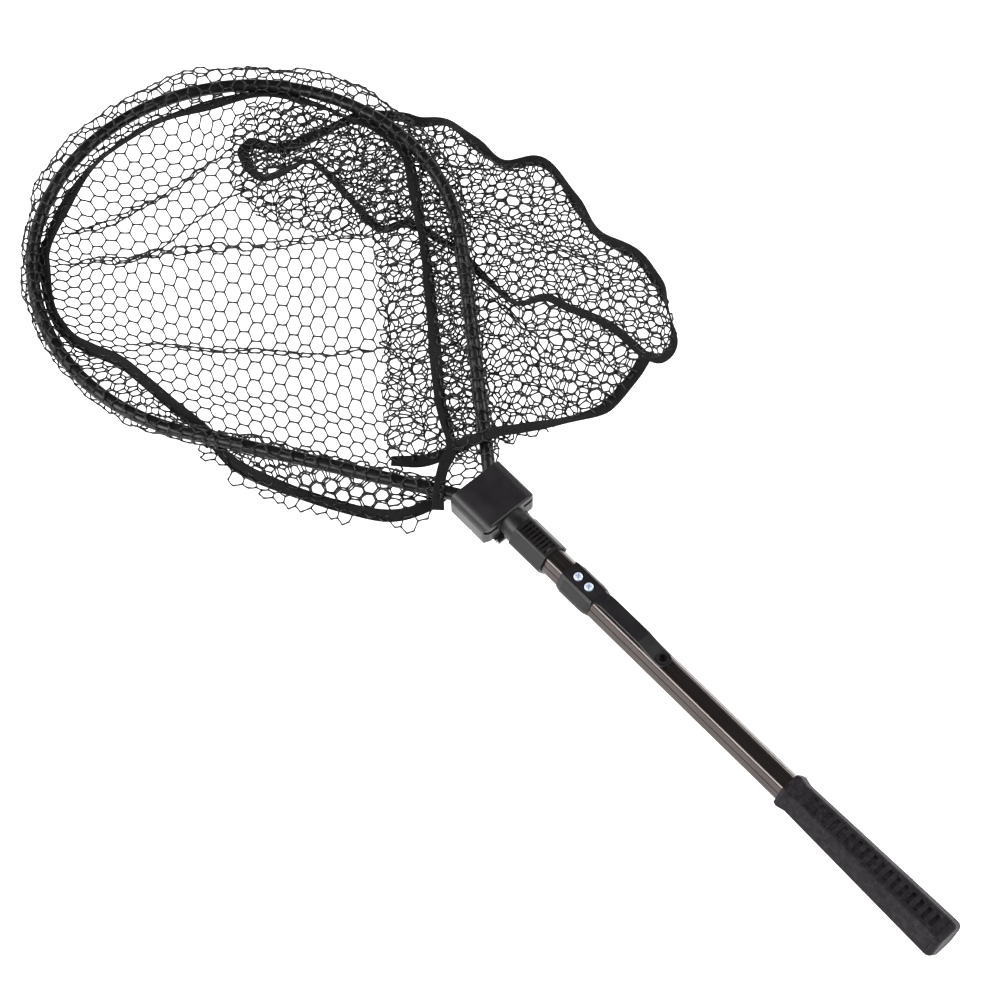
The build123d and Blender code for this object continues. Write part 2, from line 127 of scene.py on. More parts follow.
def folded_depth():
    """How far below its hinge the head reaches when it is folded under the handle."""
    fold = next(j for j in frame["record"]["behaviour"]["joints"] if j["name"] == "head_fold")
    length = hoop_high.x - fold["pos_m"][0]
    slope = math.pi - math.radians(fold["range_deg"][1])
    return length * math.sin(slope) + 45 * MM


def make_stage():
    """A plain pale floor, low enough for the folded head, an even sky and soft lights."""
    size = 8
    data = bpy.data.meshes.new("floor")
    corners = [(-size, -size, 0), (size, -size, 0), (size, size, 0), (-size, size, 0)]
    data.from_pydata(corners, [], [(0, 1, 2, 3)])
    floor = bpy.data.objects.new("floor", data)
    floor.location = (YOKE_X, 0, FLOOR_Z - folded_depth())
    bpy.context.scene.collection.objects.link(floor)
    material = bpy.data.materials.new("floor")
    material.use_nodes = True
    shader = material.node_tree.nodes["Principled BSDF"]
    shader.inputs["Base Color"].default_value = (0.9, 0.9, 0.9, 1)
    shader.inputs["Roughness"].default_value = 0.9
    shader.inputs["Specular IOR Level"].default_value = 0.1
    shader.inputs["Emission Color"].default_value = (1, 1, 1, 1)
    shader.inputs["Emission Strength"].default_value = 0.8
    data.materials.append(material)

    world = bpy.data.worlds.new("sky")
    world.use_nodes = True
    background = world.node_tree.nodes["Background"]
    background.inputs["Color"].default_value = (1, 1, 1, 1)
    background.inputs["Strength"].default_value = 0.06
    seen = world.node_tree.nodes.new("ShaderNodeBackground")
    seen.inputs["Color"].default_value = (1, 1, 1, 1)
    path = world.node_tree.nodes.new("ShaderNodeLightPath")
    either = world.node_tree.nodes.new("ShaderNodeMixShader")
    output = world.node_tree.nodes["World Output"]
    world.node_tree.links.new(path.outputs["Is Camera Ray"], either.inputs["Fac"])
    world.node_tree.links.new(background.outputs["Background"], either.inputs[1])
    world.node_tree.links.new(seen.outputs["Background"], either.inputs[2])
    world.node_tree.links.new(either.outputs["Shader"], output.inputs["Surface"])
    bpy.context.scene.world = world

    middle = (YOKE_X, 0, 0)
    area_light("key", (YOKE_X + 0.4, 2.4, 1.7), middle, (2.2, 1.6), 120)
    area_light("fill", (YOKE_X - 2.3, -0.9, 2.0), middle, (2.0, 1.6), 70)
    area_light("back", (YOKE_X + 2.6, 1.1, 1.4), middle, (2.2, 1.6), 55)
    area_light("side", (YOKE_X - 0.2, -2.6, 1.6), middle, (2.2, 1.4), 60)
    bpy.context.scene.view_settings.view_transform = "Standard"
    bpy.context.scene.view_settings.look = "None"


# ---------------------------------------------------------------- materials

class Surface:
    """A material under construction: its nodes, its links and its shader."""

    def __init__(self, name, colour, roughness, metallic=0.0):
        self.material = bpy.data.materials.new(name)
        self.material.use_nodes = True
        self.tree = self.material.node_tree
        self.shader = self.tree.nodes["Principled BSDF"]
        self.shader.inputs["Base Color"].default_value = (*colour, 1)
        self.shader.inputs["Roughness"].default_value = roughness
        self.shader.inputs["Metallic"].default_value = metallic

    def node(self, kind, **settings):
        made = self.tree.nodes.new(kind)
        for name, value in settings.items():
            setattr(made, name, value)
        return made

    def link(self, source, target):
        self.tree.links.new(source, target)

    def coordinates(self, kind="Object", scale=(1, 1, 1)):
        where = self.node("ShaderNodeTexCoord")
        mapping = self.node("ShaderNodeMapping")
        mapping.inputs["Scale"].default_value = scale
        self.link(where.outputs[kind], mapping.inputs["Vector"])
        return mapping.outputs["Vector"]

    def noise(self, vector, scale, detail=3.0, roughness=0.6):
        made = self.node("ShaderNodeTexNoise")
        made.inputs["Scale"].default_value = scale
        made.inputs["Detail"].default_value = detail
        made.inputs["Roughness"].default_value = roughness
        self.link(vector, made.inputs["Vector"])
        return made.outputs["Fac"]

    def spread(self, value, low, high, start=0.3, end=0.7):
        """Maps a texture value to a range of numbers."""
        made = self.node("ShaderNodeMapRange")
        made.inputs["From Min"].default_value = start
        made.inputs["From Max"].default_value = end
        made.inputs["To Min"].default_value = low
        made.inputs["To Max"].default_value = high
        self.link(value, made.inputs["Value"])
        return made.outputs["Result"]

    def colours(self, value, dark, light, start=0.3, end=0.7):
        made = self.node("ShaderNodeValToRGB")
        made.color_ramp.elements[0].position = start
        made.color_ramp.elements[0].color = (*dark, 1)
        made.color_ramp.elements[1].position = end
        made.color_ramp.elements[1].color = (*light, 1)
        self.link(value, made.inputs["Fac"])
        self.link(made.outputs["Color"], self.shader.inputs["Base Color"])

    def rough(self, value):
        self.link(value, self.shader.inputs["Roughness"])

    def bump(self, height, distance, strength=1.0, under=None):
        made = self.node("ShaderNodeBump")
        made.inputs["Strength"].default_value = strength
        made.inputs["Distance"].default_value = distance
        self.link(height, made.inputs["Height"])
        if under:
            self.link(under, made.inputs["Normal"])
        self.link(made.outputs["Normal"], self.shader.inputs["Normal"])
        return made.outputs["Normal"]


def moulded_plastic(name, colour, roughness, grain, depth):
    """Satin moulded plastic: fine spark-eroded grain, faint cloudiness and dulled patches."""
    surface = Surface(name, colour, roughness)
    where = surface.coordinates()
    fine = surface.noise(where, grain, 2.0)
    broad = surface.noise(where, 45, 3.0)
    surface.shader.inputs["Specular IOR Level"].default_value = 0.32
    lighter = tuple(c * 1.5 + 0.001 for c in colour)
    surface.colours(broad, colour, lighter)
    surface.rough(surface.spread(broad, roughness - 0.05, roughness + 0.07))
    surface.bump(fine, depth)
    return surface.material


def anodised_tube():
    """Dark anodised aluminium, drawn lengthwise: faint lines along the tube under a glossy skin."""
    surface = Surface("anodised_tube", (0.10, 0.088, 0.084), 0.28, metallic=0.93)
    drawn = surface.noise(surface.coordinates(scale=(2, 260, 260)), 3.0, 2.0)
    cloudy = surface.noise(surface.coordinates(), 14, 3.0)
    surface.colours(cloudy, (0.062, 0.053, 0.051), (0.086, 0.074, 0.071))
    surface.rough(surface.spread(drawn, 0.2, 0.32))
    surface.shader.inputs["Specular IOR Level"].default_value = 0.4
    surface.bump(drawn, 0.02 * MM, 0.4)
    return surface.material


def hoop_coating():
    """Glossy black powder coating on the hoop, with a slight orange peel."""
    surface = Surface("hoop_coating", (0.012, 0.011, 0.011), 0.2)
    where = surface.coordinates()
    peel = surface.noise(where, 420, 2.0)
    worn = surface.noise(where, 30, 4.0)
    surface.colours(worn, (0.005, 0.0045, 0.0045), (0.010, 0.009, 0.009))
    surface.rough(surface.spread(worn, 0.24, 0.4))
    surface.shader.inputs["Specular IOR Level"].default_value = 0.24
    surface.bump(peel, 0.05 * MM, 0.6)
    return surface.material


def grip_rubber():
    """Matt rubber with a fine leathery texture and a few pale specks."""
    surface = Surface("grip_rubber", (0.008, 0.008, 0.0085), 0.6)
    where = surface.coordinates()
    cells = surface.node("ShaderNodeTexVoronoi", feature="SMOOTH_F1")
    cells.inputs["Scale"].default_value = 900
    cells.inputs["Smoothness"].default_value = 0.4
    surface.link(where, cells.inputs["Vector"])
    soft = surface.noise(where, 260, 3.0)
    broad = surface.noise(where, 30, 3.0)
    specks = surface.node("ShaderNodeTexVoronoi", feature="F1")
    specks.inputs["Scale"].default_value = 330
    surface.link(where, specks.inputs["Vector"])
    surface.colours(soft, (0.0062, 0.0046, 0.0064), (0.0185, 0.0150, 0.0190), 0.4, 0.75)
    base = surface.shader.inputs["Base Color"].links[0].from_socket
    mix = surface.node("ShaderNodeMix", data_type="RGBA")
    mix.inputs["B"].default_value = (0.07, 0.062, 0.066, 1)
    pale = surface.spread(specks.outputs["Distance"], 0.7, 0.0, 0.06, 0.15)
    surface.link(pale, mix.inputs["Factor"])
    surface.link(base, mix.inputs["A"])
    surface.link(mix.outputs["Result"], surface.shader.inputs["Base Color"])
    surface.shader.inputs["Specular IOR Level"].default_value = 0.14
    surface.rough(surface.spread(broad, 0.5, 0.68))
    first = surface.bump(cells.outputs["Distance"], 0.22 * MM, 0.7)
    surface.bump(soft, 0.15 * MM, 0.5, first)
    return surface.material


def bright_zinc():
    """Bright zinc-plated steel with fine turning marks; the cross slot is coloured blue and darkened by
    depth, painted shade in the slot.
    """
    surface = Surface("bright_zinc", (0.72, 0.78, 0.88), 0.2, metallic=0.4)
    marks = surface.noise(surface.coordinates(), 600, 3.0)
    depth = surface.node("ShaderNodeSeparateXYZ")
    where = surface.node("ShaderNodeTexCoord")
    surface.link(where.outputs["Object"], depth.inputs["Vector"])
    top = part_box("clip_screws")[1].z
    # the colour below the head's top is blue and far darker than the face: painted shade in the cross slot
    slot_shade_blue, face = (0.06, 0.22, 0.5), (0.86, 0.9, 0.96)
    surface.colours(depth.outputs["Z"], slot_shade_blue, face, top - 0.9 * MM, top - 0.3 * MM)
    surface.rough(surface.spread(marks, 0.16, 0.34))
    surface.bump(marks, 0.03 * MM, 0.5)
    return surface.material


def plain_steel():
    """Plain ground steel."""
    surface = Surface("plain_steel", (0.5, 0.5, 0.5), 0.3, metallic=1.0)
    marks = surface.noise(surface.coordinates(scale=(1, 30, 1)), 200, 3.0)
    surface.colours(marks, (0.38, 0.38, 0.38), (0.6, 0.6, 0.6))
    surface.rough(surface.spread(marks, 0.22, 0.42))
    surface.bump(marks, 0.03 * MM, 0.5)
    return surface.material


def coated_strand():
    """Rubber-coated mesh strand: black, slightly uneven and a little glossy."""
    surface = Surface("coated_strand", (0.006, 0.006, 0.007), 0.42)
    surface.shader.inputs["Specular IOR Level"].default_value = 0.35
    where = surface.coordinates()
    uneven = surface.noise(where, 900, 2.0)
    broad = surface.noise(where, 25, 2.0)
    surface.colours(broad, (0.004, 0.004, 0.005), (0.010, 0.010, 0.011))
    surface.rough(surface.spread(uneven, 0.34, 0.52))
    surface.bump(uneven, 0.12 * MM, 0.6)
    return surface.material


def woven_tape():
    """Plain-woven polyester tape: ribs across it and warp threads along it."""
    surface = Surface("woven_tape", (0.008, 0.008, 0.009), 0.75)
    surface.shader.inputs["Specular IOR Level"].default_value = 0.15
    where = surface.coordinates("UV")
    ribs = surface.node("ShaderNodeTexWave", wave_type="BANDS", bands_direction="X")
    ribs.inputs["Scale"].default_value = 260
    ribs.inputs["Distortion"].default_value = 0.6
    surface.link(where, ribs.inputs["Vector"])
    threads = surface.node("ShaderNodeTexWave", wave_type="BANDS", bands_direction="Y")
    threads.inputs["Scale"].default_value = 330
    surface.link(where, threads.inputs["Vector"])
    fuzz = surface.noise(surface.coordinates(), 700, 3.0)
    surface.colours(fuzz, (0.0025, 0.0022, 0.0022), (0.0095, 0.0085, 0.0082))
    surface.rough(surface.spread(fuzz, 0.66, 0.86))
    surface.shader.inputs["Sheen Weight"].default_value = 0.03
    surface.shader.inputs["Sheen Roughness"].default_value = 0.5
    first = surface.bump(ribs.outputs["Fac"], 0.25 * MM, 0.8)
    surface.bump(threads.outputs["Fac"], 0.2 * MM, 0.6, first)
    return surface.material


def give(material, *names):
    for name in names:
        data = nodes[name].data
        data.materials.clear()
        data.materials.append(material)


def finish_cad_nodes():
    plastic = moulded_plastic("collar_plastic", (0.0050, 0.0042, 0.0050), 0.42, 900, 0.05 * MM)
    yoke = moulded_plastic("yoke_plastic", (0.0085, 0.0075, 0.0085), 0.36, 1100, 0.04 * MM)
    casting = moulded_plastic("neck_casting", (0.007, 0.007, 0.007), 0.45, 600, 0.07 * MM)
    rubber = grip_rubber()
    steel = plain_steel()
    give(anodised_tube(), "handle_tube")
    give(rubber, "grip", "butt_cap")
    give(casting, "hinge_head")
    give(plastic, "clip_collar", "belt_clip_strap", "belt_clip_blade", "release_collar")
    give(yoke, "yoke_upper_shell", "yoke_lower_shell")
    give(bright_zinc(), "clip_screws")
    give(hoop_coating(), "hoop_tube")
    give(steel, "neck_rivets", "hinge_pin", "hinge_pin_clip", "lock_bolt", "bolt_cross_pin",
         "collar_spring", "hoop_lock_pins", "yoke_screws", "latch_plate")


# ---------------------------------------------------------------- curves that the net follows

# Points are millimetres from the middle of the hoop: x towards the far end, y to the hoop's left, z up.
# The hem that closes the sleeve, from its crossing over the arms, round the left side and back.
HEM = [
    (-279, 14, -8), (-276, 40, -10), (-262, 64, -12), (-230, 86, -13), (-184, 110, -12), (-145, 124, -11),
    (-107, 123, -9), (-68, 128, -6), (-40, 131, -4), (-12, 135, -3), (12, 145, -2), (35, 151, -2),
    (65, 146, -2), (101, 127, -2), (118, 114, -2), (138, 84, -2), (155, 51, -2), (163, 24, -2),
    (165, -9, -2), (162, -39, -2), (150, -73, -2), (129, -120, -3), (100, -143, -3), (60, -160, -3),
    (25, -173, -3), (-9, -171, -3), (-50, -147, -3), (-94, -119, -3), (-143, -84, -3), (-205, -38, -3),
    (-231, -22, -1), (-256, -8, 4), (-267, 10, 8), (-279, 25, 8), (-290, 36, 0),
]
# The seam between the bag's side and its bottom panel: its outer run, then its crumpled inner run.
SEAM_OUTER = [
    (-287, -186, -11), (-300, -193, -10), (-293, -213, -11), (-256, -238, -12), (-236, -245, -12),
    (-210, -249, -11), (-174, -241, -12), (-136, -249, -11), (-104, -256, -9), (-84, -252, -8),
    (-66, -231, -11), (-39, -227, -9), (-1, -225, -11), (17, -208, -12), (33, -199, -12), (56, -173, -11),
    (65, -138, -12), (74, -104, -12), (97, -86, -11),
]
SEAM_INNER = [
    (97, -86, -11), (90, -72, -10), (58, -69, -8), (46, -106, -6), (30, -112, -8), (-7, -109, -7),
    (-48, -108, -9), (-60, -130, -10), (-94, -140, -12), (-110, -142, -10), (-149, -141, -12),
    (-182, -142, -8), (-194, -162, -6), (-216, -169, -5), (-248, -183, -8), (-287, -186, -11),
]
SIDE_SEAM = [
    (-226, 30, -12), (-246, 9, -9), (-262, -20, 5), (-269, -38, 8), (-279, -60, 3), (-290, -92, -8),
    (-301, -121, -12), (-302, -137, -12), (-296, -166, -12), (-290, -184, -10),
]
# Where the near wall turns back under itself.
FOLD = [
    (-224, 30), (-179, -3), (-141, -33), (-102, -63), (-57, -96), (-30, -112), (0, -128), (30, -138),
]
# The far end of the wall, bunched up beside the bottom panel.
BUNCH = [
    (112, -70), (80, -48), (40, -38), (0, -52), (-33, -78), (-57, -101), (-60, -139), (-14, -171),
    (28, -173), (74, -155), (106, -138), (128, -112),
]
# The scrap of wall between the hem's crossing and the yoke.
YOKE_CORNER = [
    (-291, 22), (-270, 16), (-245, -8), (-238, -28), (-262, -34), (-284, -26), (-291, -12), (-292, 4),
]
# Soft creases in the part of the wall that lies outside the hoop, across it from the right arm.
CREASES = [
    ((-30, -150), (-215, -225), 17, 22), ((-60, -150), (-250, -120), 9, 12), ((10, -150), (-90, -240), 8, 9),
]
# How far the sleeve's mesh sags outside the hem beside the yoke.
SAG = [
    (-98, 140), (-154, 137), (-198, 122), (-220, 113), (-241, 97), (-264, 84), (-280, 70), (-288, 50),
    (-286, 28), (-276, 8),
]
# Pleats in the long layer under the hoop: two ends, how much net each draws in and over what width.
# A pleat that draws in more than its width folds over itself.
PLEATS = [
    ((106, 122), (-55, -106), 15, 7.5), ((6, 128), (-170, -62), 13, 8.5), ((119, 106), (100, -72), 14, 8),
    ((66, 78), (58, -64), 9.0, 8), ((-60, 120), (-215, -5), 5.0, 9),
]


def on_hoop(points):
    """Millimetres from the net's middle to metres in the frame."""
    return np.array([(NET_X + p[0] * MM, p[1] * MM, (p[2] if len(p) > 2 else 0) * MM) for p in points])


def smooth(points, closed=False):
    """A Catmull-Rom curve through the points, sampled evenly."""
    points = np.asarray(points, float)
    if closed:
        padded = np.vstack([points[-1], points, points[0], points[1]])
    else:
        padded = np.vstack([2 * points[0] - points[1], points, 2 * points[-1] - points[-2]])
    dense = []
    for a, b, c, d in zip(padded, padded[1:], padded[2:], padded[3:]):
        for t in np.linspace(0, 1, 24, endpoint=False):
            dense.append(0.5 * (2 * b + (c - a) * t + (2 * a - 5 * b + 4 * c - d) * t ** 2
                                + (3 * b - a - 3 * c + d) * t ** 3))
    dense.append(padded[-2])
    dense = np.array(dense)
    run = np.concatenate([[0], np.cumsum(np.linalg.norm(np.diff(dense, axis=0), axis=1))])
    even = np.linspace(0, run[-1], max(4, int(run[-1] / STEP)))
    return np.stack([np.interp(even, run, dense[:, k]) for k in range(3)], axis=1)


def inside(points, outline):
    """Which points lie inside a closed outline, seen from above."""
    x, y = points[:, 0], points[:, 1]
    result = np.zeros(len(points), bool)
    for a, b in zip(outline, np.roll(outline, -1, axis=0)):
        crosses = (a[1] > y) != (b[1] > y)
        with np.errstate(divide="ignore", invalid="ignore"):
            at = (b[0] - a[0]) * (y - a[1]) / (b[1] - a[1]) + a[0]
        result ^= crosses & (x < at)
    return result


def nearest(points, curve):
    """Distance, seen from above, to the nearest sample of a curve, and that sample."""
    distance = np.full(len(points), 1e9)
    index = np.zeros(len(points), int)
    for i, c in enumerate(curve):
        d = np.hypot(points[:, 0] - c[0], points[:, 1] - c[1])
        closer = d < distance
        distance[closer] = d[closer]
        index[closer] = i
    return distance, index


def ease(t):
    t = np.clip(t, 0, 1)
    return t * t * (3 - 2 * t)


# ---------------------------------------------------------------- mesh strands

def hex_lattice(width, height, cell):
    """Nodes and strands of a hexagonal net about the origin; two sides of each cell lie along x."""
    side = cell / math.sqrt(3)
    columns = int(width / (1.5 * side)) // 2 + 1
    rows = int(height / cell) // 2 + 1
    index = {}
    places = []
    strands = set()

    def node(x, y):
        key = (round(x / (side / 2)), round(y / (cell / 2)))
        if key not in index:
            index[key] = len(places)
            places.append((x, y))
        return index[key]

    for i in range(-columns, columns + 1):
        for j in range(-rows, rows + 1):
            x = i * 1.5 * side
            y = j * cell + (cell / 2 if i % 2 else 0)
            corner = [
                node(x + side * math.cos(k * math.pi / 3), y + side * math.sin(k * math.pi / 3))
                for k in range(6)
            ]
            for a, b in zip(corner, corner[1:] + corner[:1]):
                strands.add((min(a, b), max(a, b)))
    return np.array(places), np.array(sorted(strands))


def kept(places, strands, keep):
    """The part of a net whose nodes are kept."""
    strands = strands[keep[strands[:, 0]] & keep[strands[:, 1]]]
    used = np.unique(strands)
    renumber = np.full(len(places), -1)
    renumber[used] = np.arange(len(used))
    return places[used], renumber[strands]


def strand_mesh(name, places, strands):
    """Thin closed tubes along the strands, a little thicker where they meet at a node."""
    sides = 4
    a = places[strands[:, 0]]
    b = places[strands[:, 1]]
    along = b - a
    length = np.linalg.norm(along, axis=1, keepdims=True)
    along = along / np.maximum(length, 1e-9)
    up = np.tile(np.array([0.0, 0.0, 1.0]), (len(a), 1))
    steep = np.abs(along[:, 2]) > 0.9
    up[steep] = (1, 0, 0)
    across = np.cross(along, up)
    across /= np.linalg.norm(across, axis=1, keepdims=True)
    over = np.cross(across, along)
    middle = (a + b) / 2 + random.normal(0, 0.22 * MM, a.shape)
    rings = []
    for centre, r in ((a, 1.25), (middle, 0.9), (b, 1.25)):
        for k in range(sides):
            angle = 2 * math.pi * (k + 0.5) / sides
            rings.append(centre + STRAND_R * r * (math.cos(angle) * across + math.sin(angle) * over))
    points = np.stack(rings, axis=1).reshape(-1, 3)
    per = 3 * sides
    faces = []
    for ring in range(2):
        for k in range(sides):
            low, next_low = ring * sides + k, ring * sides + (k + 1) % sides
            faces.append((low, next_low, next_low + sides, low + sides))
    quads = np.array(faces)
    start = (np.arange(len(a)) * per)[:, None, None]
    loops = [(quads[None] + start).reshape(-1, 4)]
    caps = np.array([(3, 2, 1, 0), (8, 9, 10, 11)])
    loops.append((caps[None] + start).reshape(-1, 4))
    loops = np.vstack(loops)
    data = bpy.data.meshes.new(name)
    data.vertices.add(len(points))
    data.vertices.foreach_set("co", points.ravel())
    data.loops.add(loops.size)
    data.loops.foreach_set("vertex_index", loops.ravel())
    data.polygons.add(len(loops))
    data.polygons.foreach_set("loop_start", np.arange(len(loops)) * 4)
    data.polygons.foreach_set("use_smooth", np.ones(len(loops), bool))
    data.update(calc_edges=True)
    data.validate()
    made = bpy.data.objects.new(name, data)
    bpy.context.scene.collection.objects.link(made)
    data.materials.append(strand_material)
    return made


def joined_nets(parts):
    """Several nets as one list of nodes and strands."""
    places, strands, count = [], [], 0
    for p, s in parts:
        places.append(p)
        strands.append(s + count)
        count += len(p)
    return np.vstack(places), np.vstack(strands)


def waves(points, seed, lengths, height, share, drape=None):
    """Folds: each wave moves the net along itself as it lifts it, as a sheet does that is pushed together."""
    draw = np.random.default_rng(seed)
    moved = np.zeros((len(points), 3))
    for length in lengths:
        turn = draw.uniform(0, math.pi) if drape is None else drape + draw.uniform(-0.35, 0.35)
        way = np.array([math.cos(turn), math.sin(turn)])
        side = points @ np.array([-way[1], way[0]])
        bend = draw.uniform(-0.35, 0.35) * side
        bend = bend + 0.15 * length * np.sin(side / length * 1.7 + draw.uniform(0, 6))
        t = 2 * math.pi * (points @ way + bend) / length + draw.uniform(0, 2 * math.pi)
        swing = height * draw.uniform(0.6, 1.2)
        moved[:, 2] += swing * np.cos(t)
        moved[:, :2] += (share * swing * np.sin(t))[:, None] * way
    return moved


def pleated(points, heights, pleats):
    """Pleats and creases: the net on both sides is drawn in to a line and stands up there."""
    for start, end, take, width in pleats:
        a, b = on_hoop([start, end])[:, :2]
        way = (b - a) / np.linalg.norm(b - a)
        normal = np.array([-way[1], way[0]])
        t = ((points - a) @ way) / np.linalg.norm(b - a)
        wander = 2.5 * MM * np.sin(t * 7 + take) + 1.2 * MM * np.sin(t * 17)
        d = ((points - a) @ normal - wander) / (width * MM)
        strength = take * MM * ease((t + 0.05) / 0.25) * ease((1.05 - t) / 0.25)
        pull = strength * np.tanh(d) * np.exp(-((d / 6) ** 2))
        points = points - pull[:, None] * normal
        heights = heights + strength * 0.35 / np.cosh(d) ** 2
    return points, heights


def fanned(points):
    """The rows of cells spread like a fan from the hoop's far left side to the fold."""
    away = np.array([-0.643, -0.766])
    side = np.array([-0.766, 0.643])
    middle = on_hoop([(40, 45)])[0, :2]
    x = (points - middle) @ away
    y = (points - middle) @ side
    return points + (2.1 * np.clip(y, -0.13, 0.13) * x)[:, None] * side


def pinned_height(points, height, curves, reach):
    """Near each curve the net comes up, or down, to it."""
    for curve in curves:
        distance, index = nearest(points, curve)
        weight = ease(1 - distance / reach)
        height = height * (1 - weight) + curve[index, 2] * weight
    return height


# ---------------------------------------------------------------- the net

def hoop_line():
    """Samples of the hoop's centre line, from the left arm round to the right arm."""
    near = (ARM_X - HOOP_X) / HOOP_LONG_R
    side = ARM_Y / HOOP_WIDE_R
    turn = math.atan2(side, near) - math.acos(1 / math.hypot(near, side))
    angles = np.linspace(turn, -turn, 400)
    bow = np.stack([HOOP_X + HOOP_LONG_R * np.cos(angles), HOOP_WIDE_R * np.sin(angles), 0 * angles], axis=1)
    ends = np.array([(ARM_X, ARM_Y, 0)]), np.array([(ARM_X, -ARM_Y, 0)])
    line = np.vstack([ends[0], bow, ends[1]])
    skew = math.atan2(HOOP_Y, HOOP_X - ARM_X)
    x, y = line[:, 0] - ARM_X, line[:, 1].copy()
    line[:, 0] = ARM_X + x * math.cos(skew) - y * math.sin(skew)
    line[:, 1] = x * math.sin(skew) + y * math.cos(skew)
    run = np.concatenate([[0], np.cumsum(np.linalg.norm(np.diff(line, axis=0), axis=1))])
    even = np.linspace(0, run[-1], int(run[-1] / STEP))
    return np.stack([np.interp(even, run, line[:, k]) for k in range(3)], axis=1)


def sleeve_net(hem):
    """The mesh that wraps loosely round the hoop and closes at the hem: a teardrop in each section."""
    line = hoop_line()
    skip = int(SLEEVE_START / STEP)
    line = line[skip:-skip]
    count = len(line)
    run = np.arange(count) * STEP
    tangent = np.gradient(line, axis=0)
    tangent /= np.linalg.norm(tangent, axis=1, keepdims=True)
    matched = []
    low = 0
    for i in range(count):
        window = hem[max(0, low - 30): low + 60]
        pick = np.argmin(np.linalg.norm(window - line[i], axis=1)) + max(0, low - 30)
        low = max(low, pick)
        matched.append(hem[pick])
    matched = np.array(matched)
    kernel = np.ones(31) / 31
    matched = np.stack([np.convolve(np.pad(matched[:, k], 15, "edge"), kernel, "valid") for k in range(3)], 1)
    round_length = SLEEVE_ROUND
    places, strands = hex_lattice(run[-1], round_length, CELL)
    u = places[:, 0] + run[-1] / 2
    v = places[:, 1] + round_length / 2
    keep = (u >= 0) & (u <= run[-1]) & (v >= -0.002) & (v <= round_length + 0.002)
    at = np.clip(u / STEP, 0, count - 1.001)
    i = at.astype(int)
    f = (at - i)[:, None]
    centre = line[i] * (1 - f) + line[i + 1] * f
    t = tangent[i]
    hem_point = matched[i] * (1 - f) + matched[i + 1] * f
    out = centre - hem_point
    out -= (out * t).sum(1, keepdims=True) * t
    reach = np.linalg.norm(out, axis=1)
    out /= np.maximum(reach, 1e-6)[:, None]
    up = np.cross(t, out)
    up *= np.sign(up[:, 2])[:, None]
    aside = (centre[:, :2] - np.array([HOOP_X, HOOP_Y])) @ np.array([0.766, -0.643]) / HOOP_LONG_R
    loose = ease((aside + 0.15) / 1.0)
    billow = (0.9 + loose) * np.sin(u / 0.021 + 1.0) + 0.8 * np.sin(u / 0.0083 + 2.0)
    slack = (0.9 + 3.4 * loose + billow) * MM
    radius = HOOP_TUBE_R + 1.3 * MM + np.maximum(slack, 0.1 * MM)
    turn = np.clip(v / round_length, 0, 1) * 2 * math.pi
    # Along the section: from the hem over the top, round the outside and back underneath.
    open_angle = np.arccos(np.clip(radius / np.maximum(reach, radius * 1.05), -1, 1))
    straight = np.sqrt(np.maximum(reach ** 2 - radius ** 2, 1e-9))
    arc = radius * (2 * math.pi - 2 * open_angle)
    total = 2 * straight + arc
    s = turn / (2 * math.pi) * total
    on_first = s < straight
    on_last = s > straight + arc
    angle = open_angle + np.clip(s - straight, 0, arc) / radius
    x_round = -np.cos(angle) * radius
    z_round = np.sin(angle) * radius
    x_first, z_first = -np.cos(open_angle) * radius, np.sin(open_angle) * radius
    first = np.clip(s / straight, 0, 1)
    last = np.clip((total - s) / straight, 0, 1)
    x_last = -reach + (x_first + reach) * last
    x = np.where(on_first, -reach + (x_first + reach) * first, np.where(on_last, x_last, x_round))
    z = np.where(on_first, z_first * first, np.where(on_last, -z_first * last, z_round))
    outside = ease((x + 0.004) / 0.008)
    x = x + outside * (0.6 + 5.5 * loose) * MM
    ripple = (0.9 * np.sin(u / 0.006 + 7 * turn) + 0.7 * np.sin(u / 0.0145 - 3 * turn)) * MM
    x = x + ripple * outside
    z = z + ripple * 0.6
    points = centre + out * x[:, None] + up * z[:, None]
    points[:, 2] = np.maximum(points[:, 2], FLOOR_Z + STRAND_R)
    return kept(points, strands, keep)


def layer(outline, turn, cell, seed, lengths, height, share, rest, curves, reach,
          pleats=(), margin=0.0, fan=False, drape=None):
    """One layer of the bag: a flat net, folded into waves and pleats and cut along its outline."""
    low, high = outline[:, :2].min(0), outline[:, :2].max(0)
    size = max(high - low) * 1.5 + 0.05
    flat, strands = hex_lattice(size, size, cell)
    c, s = math.cos(turn), math.sin(turn)
    flat = flat @ np.array([[c, s], [-s, c]]) + (low + high) / 2
    moved = waves(flat, seed, lengths, height, share, drape)
    plan = flat + moved[:, :2]
    if fan:
        plan = fanned(plan)
    plan, heights = pleated(plan, moved[:, 2] + rest, pleats)
    keep = inside(plan, outline)
    if margin:
        distance, _ = nearest(plan, outline)
        keep |= distance < margin
    heights = pinned_height(plan, heights, curves, reach)
    points = np.column_stack([plan, np.maximum(heights, FLOOR_Z + STRAND_R)])
    return kept(points, strands, keep)


def run_to(curve, place):
    """The curve up to its sample nearest a place."""
    aim = on_hoop([place])[0]
    return curve[: int(np.argmin(np.linalg.norm(curve[:, :2] - aim[:2], axis=1))) + 1]


def trimmed(places, strands, rounds=2):
    """The net without the strands that end free at a cut edge."""
    for _ in range(rounds):
        joined = np.bincount(strands.ravel(), minlength=len(places)) > 1
        places, strands = kept(places, strands, joined)
    return places, strands


